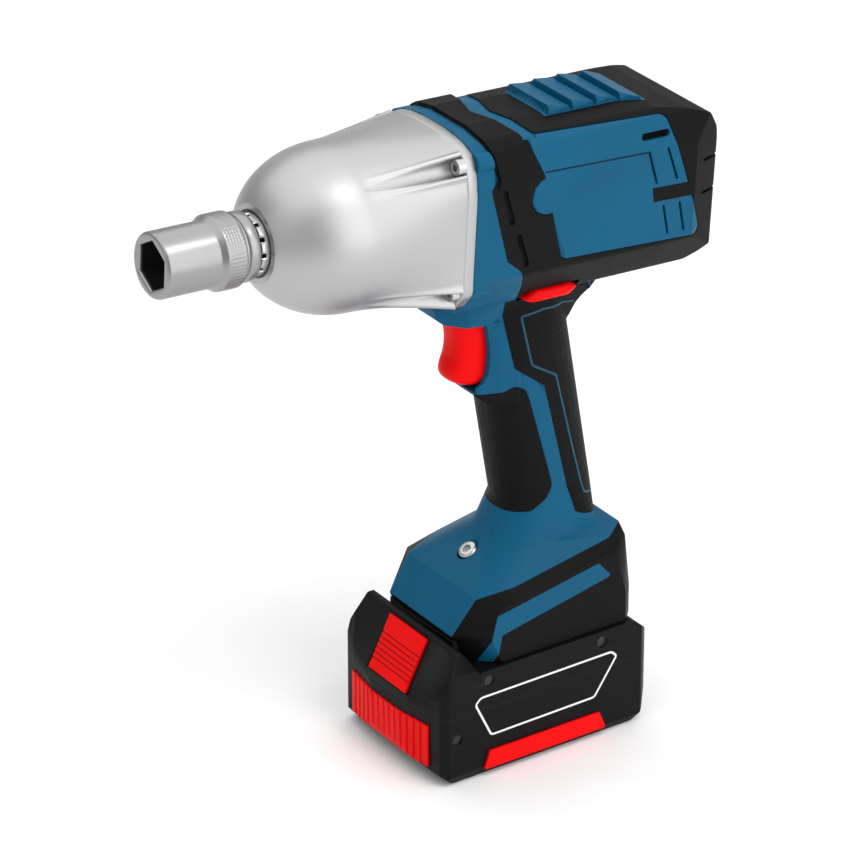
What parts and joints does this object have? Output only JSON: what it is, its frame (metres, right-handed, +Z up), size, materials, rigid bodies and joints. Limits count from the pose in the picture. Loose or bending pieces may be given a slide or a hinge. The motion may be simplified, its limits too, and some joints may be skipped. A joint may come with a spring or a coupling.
{
  "type": "impact wrench",
  "caption": "Cordless impact wrench with a pistol grip, a bare cast hammer case, a hexagon socket on its square drive and a slide-on battery pack under the foot.",
  "frame": {"origin": "Centre of the battery pack's flat base, the face the tool stands on.", "axes": "+Z up out of the base along the tool's height, -X the way the nose points, +X the rear of the motor housing, Y across the tool's mirror plane."},
  "size_m": [0.2656, 0.078, 0.2962],
  "materials": {
    "blue_shell": "fine-grained moulded petrol blue",
    "black_rubber": "soft satin black overmould",
    "screw_steel": "bright plated screws",
    "cast_case": "bare satin die casting",
    "bronze": "plain bronze",
    "dark_metal": "dark oiled metal",
    "drive_steel": "ground steel",
    "socket_chrome": "satin chrome",
    "spring_steel": "drawn wire",
    "motor_metal": "stacked steel sheet",
    "inner_plastic": "dark moulded plastic",
    "red_plastic": "bright red moulded",
    "black_plastic": "grained black moulded",
    "cell_sleeve": "shrunk sleeve"
  },
  "bodies": {
    "tool": {"left_housing": "blue_shell", "right_housing": "blue_shell", "left_body_overmould": "black_rubber", "right_body_overmould": "black_rubber", "left_front_grip": "black_rubber", "right_front_grip": "black_rubber", "left_rear_grip": "black_rubber", "right_rear_grip": "black_rubber", "left_foot_bumper": "black_rubber", "right_foot_bumper": "black_rubber", "housing_screws": "screw_steel", "foot_screw": "screw_steel", "case_screws": "screw_steel", "hammer_case": "cast_case", "nose_bush": "bronze", "nose_collar": "dark_metal", "gear_plate": "dark_metal", "magnets": "dark_metal", "ring_gear": "drive_steel", "spindle_bearing": "drive_steel", "front_bearing": "drive_steel", "rear_bearing": "drive_steel", "motor_can": "motor_metal", "brush_ring": "inner_plastic", "switch_module": "inner_plastic", "terminal_block": "inner_plastic"},
    "output": {"anvil": "drive_steel", "retainer_ring": "dark_metal"},
    "socket": {"socket": "socket_chrome"},
    "spindle": {"spindle": "drive_steel", "cam_balls": "drive_steel", "hammer_spring": "spring_steel"},
    "hammer": {"hammer": "dark_metal"},
    "rotor": {"rotor": "motor_metal", "fan": "inner_plastic"},
    "planet_1": {"planet_gear_1": "drive_steel"},
    "planet_2": {"planet_gear_2": "drive_steel"},
    "planet_3": {"planet_gear_3": "drive_steel"},
    "trigger": {"trigger": "red_plastic", "trigger_spring": "spring_steel"},
    "direction_switch": {"direction_switch": "red_plastic"},
    "battery": {"pack_lower_case": "black_plastic", "pack_upper_case": "black_plastic", "pack_cells": "cell_sleeve", "pack_contacts": "bronze", "pack_bumper": "red_plastic", "pack_side_bars": "red_plastic", "pack_screws": "screw_steel"},
    "release_button": {"release_button": "red_plastic", "button_spring": "spring_steel"}
  },
  "joints": [
    {"name": "output_spin", "type": "hinge", "parent": "tool", "child": "output", "pos_m": [-0.11488, 0, 0.26195], "axis": [0.9984, 0, -0.0558], "continuous": true},
    {"name": "socket_slide", "type": "slide", "parent": "output", "child": "socket", "axis": [-0.9984, 0, 0.0558], "range_m": [0, 0.025]},
    {"name": "spindle_spin", "type": "hinge", "parent": "tool", "child": "spindle", "pos_m": [-0.06695, 0, 0.25927], "axis": [0.9984, 0, -0.0558], "continuous": true},
    {"name": "hammer_slide", "type": "slide", "parent": "spindle", "child": "hammer", "axis": [0.9984, 0, -0.0558], "range_m": [0, 0.008], "stiffness_N_per_m": 9000, "springref_m": -0.001, "deforming": ["hammer_spring"]},
    {"name": "planet_1_spin", "type": "hinge", "parent": "spindle", "child": "planet_1", "pos_m": [-0.04115, 0, 0.27286], "axis": [0.9984, 0, -0.0558], "continuous": true},
    {"name": "planet_2_spin", "type": "hinge", "parent": "spindle", "child": "planet_2", "pos_m": [-0.04241, -0.01299, 0.25039], "axis": [0.9984, 0, -0.0558], "continuous": true},
    {"name": "planet_3_spin", "type": "hinge", "parent": "spindle", "child": "planet_3", "pos_m": [-0.04241, 0.01299, 0.25039], "axis": [0.9984, 0, -0.0558], "continuous": true},
    {"name": "rotor_spin", "type": "hinge", "parent": "tool", "child": "rotor", "pos_m": [0.02291, 0, 0.25425], "axis": [0.9984, 0, -0.0558], "continuous": true},
    {"name": "trigger_slide", "type": "slide", "parent": "tool", "child": "trigger", "axis": [1, 0, 0], "range_m": [0, 0.006], "stiffness_N_per_m": 1500, "springref_m": -0.001, "deforming": ["trigger_spring"]},
    {"name": "direction_slide", "type": "slide", "parent": "tool", "child": "direction_switch", "axis": [0, 1, 0], "range_m": [-0.003, 0.003]},
    {"name": "battery_slide", "type": "slide", "parent": "tool", "child": "battery", "axis": [-1, 0, 0], "range_m": [0, 0.08]},
    {"name": "button_press", "type": "slide", "parent": "battery", "child": "release_button", "axis": [0.8937, 0, -0.4486], "range_m": [0, 0.0024], "stiffness_N_per_m": 1200, "springref_m": -0.001, "deforming": ["button_spring"]}
  ],
  "couplings": [
    {"joint": "spindle_spin", "follows": "output_spin", "ratio": 1},
    {"joint": "rotor_spin", "follows": "output_spin", "ratio": 6.6667},
    {"joint": "planet_1_spin", "follows": "output_spin", "ratio": -2.4286},
    {"joint": "planet_2_spin", "follows": "output_spin", "ratio": -2.4286},
    {"joint": "planet_3_spin", "follows": "output_spin", "ratio": -2.4286}
  ]
}
